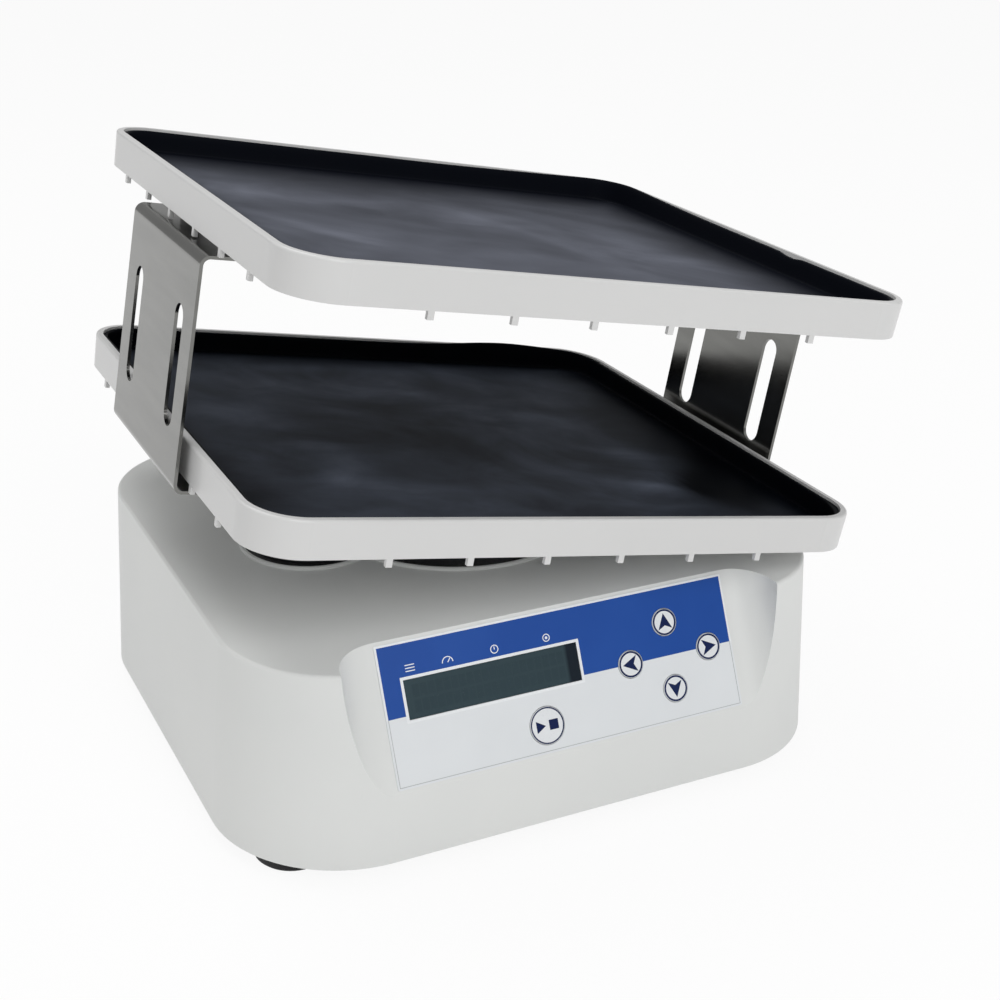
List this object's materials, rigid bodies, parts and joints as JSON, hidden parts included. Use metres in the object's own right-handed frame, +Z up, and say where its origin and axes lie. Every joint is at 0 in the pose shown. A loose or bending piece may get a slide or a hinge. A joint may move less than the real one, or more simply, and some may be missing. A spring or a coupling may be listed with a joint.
{
  "type": "rocker shaker",
  "caption": "Two-tier laboratory rocking shaker: moulded housing with a sloping key panel, and two shallow trays with rubber mats tipping on a pivot.",
  "frame": {"origin": "on the table, under the middle of the housing, in the plane of the feet", "axes": "+X to the right along the front, +Y from the front to the back, +Z up"},
  "size_m": [0.3231, 0.2803, 0.277],
  "materials": {
    "housing_plastic": "satin",
    "base_plastic": "satin",
    "foot_rubber": "matt",
    "boot_rubber": "matt",
    "overlay_film": "satin",
    "window_glass": "gloss",
    "display_module": "satin",
    "circuit_board": "satin",
    "key_plastic": "satin",
    "cast_aluminium": "satin",
    "stainless_sheet": "brushed",
    "plated_steel": "polished",
    "bronze": "satin",
    "tray_plastic": "satin",
    "mat_rubber": "satin",
    "belt_rubber": "matt",
    "motor_paint": "satin",
    "supply_case": "satin",
    "black_plastic": "satin",
    "contact_brass": "polished"
  },
  "bodies": {
    "base": {"housing_cover": "housing_plastic", "base_plate": "base_plastic", "rubber_feet": "foot_rubber", "foot_screws": "plated_steel", "cover_screws": "plated_steel", "control_overlay": "overlay_film", "lcd_window": "window_glass", "lcd_module": "display_module", "control_board": "circuit_board", "board_screws": "plated_steel", "pivot_pedestal": "cast_aluminium", "pedestal_screws": "plated_steel", "pivot_bushes": "bronze", "pivot_boot": "boot_rubber", "drive_boot": "boot_rubber", "drive_frame": "cast_aluminium", "drive_frame_screws": "plated_steel", "crank_bearings": "plated_steel", "timing_belt": "belt_rubber", "drive_motor": "motor_paint", "motor_screws": "plated_steel", "rod_bush": "bronze", "power_supply": "supply_case", "driver_board": "circuit_board", "power_inlet": "black_plastic", "inlet_pins": "contact_brass", "power_switch": "black_plastic"},
    "platform": {"rocking_shaft": "plated_steel", "retaining_rings": "plated_steel", "shaft_set_screws": "plated_steel", "platform_carrier": "cast_aluminium", "lower_tray": "tray_plastic", "upper_tray": "tray_plastic", "tray_screws": "plated_steel", "lower_mat": "mat_rubber", "upper_mat": "mat_rubber", "left_bracket": "stainless_sheet", "right_bracket": "stainless_sheet", "bracket_screws": "plated_steel"},
    "yoke": {"drive_yoke": "cast_aluminium", "rod_pin": "plated_steel"},
    "crank": {"crank_shaft": "plated_steel", "crank_disc": "cast_aluminium", "crank_pin": "plated_steel", "crank_roller": "plated_steel", "crank_pulley": "cast_aluminium"},
    "rotor": {"motor_shaft": "plated_steel", "motor_pulley": "cast_aluminium"},
    "rocker": {"power_rocker": "black_plastic"},
    "key_up": {"key_up": "key_plastic"},
    "key_down": {"key_down": "key_plastic"},
    "key_left": {"key_left": "key_plastic"},
    "key_right": {"key_right": "key_plastic"},
    "key_start_stop": {"key_start_stop": "key_plastic"}
  },
  "joints": [
    {"name": "rock", "type": "hinge", "parent": "base", "child": "platform", "pos_m": [0, 0, 0.125], "axis": [0, 1, 0], "range_deg": [-20, 0]},
    {"name": "push_rod", "type": "slide", "parent": "base", "child": "yoke", "axis": [0, 0, 1], "range_m": [-0.02665, 0], "deforming": ["drive_boot"]},
    {"name": "crank_turn", "type": "hinge", "parent": "base", "child": "crank", "pos_m": [-0.075, 0, 0.042], "axis": [0, 1, 0], "range_deg": [-180, 0]},
    {"name": "motor_turn", "type": "hinge", "parent": "base", "child": "rotor", "pos_m": [-0.108, 0, 0.042], "axis": [0, 1, 0], "range_deg": [-450, 0]},
    {"name": "power_rocker_tip", "type": "hinge", "parent": "base", "child": "rocker", "pos_m": [0.055, 0.13743, 0.036], "axis": [1, 0, 0], "range_deg": [-12, 0]},
    {"name": "key_up_press", "type": "slide", "parent": "base", "child": "key_up", "axis": [0, 0.9011, -0.4337], "range_m": [0, 0.0005], "stiffness_N_per_m": 1200, "springref_m": -0.0003},
    {"name": "key_down_press", "type": "slide", "parent": "base", "child": "key_down", "axis": [0, 0.9011, -0.4337], "range_m": [0, 0.0005], "stiffness_N_per_m": 1200, "springref_m": -0.0003},
    {"name": "key_left_press", "type": "slide", "parent": "base", "child": "key_left", "axis": [0, 0.9011, -0.4337], "range_m": [0, 0.0005], "stiffness_N_per_m": 1200, "springref_m": -0.0003},
    {"name": "key_right_press", "type": "slide", "parent": "base", "child": "key_right", "axis": [0, 0.9011, -0.4337], "range_m": [0, 0.0005], "stiffness_N_per_m": 1200, "springref_m": -0.0003},
    {"name": "key_start_stop_press", "type": "slide", "parent": "base", "child": "key_start_stop", "axis": [0, 0.9011, -0.4337], "range_m": [0, 0.0005], "stiffness_N_per_m": 1200, "springref_m": -0.0003}
  ],
  "couplings": [
    {"joint": "push_rod", "follows": "rock", "m_per_rad": 0.075771},
    {"joint": "crank_turn", "follows": "rock", "ratio": 9},
    {"joint": "motor_turn", "follows": "rock", "ratio": 22.5}
  ]
}
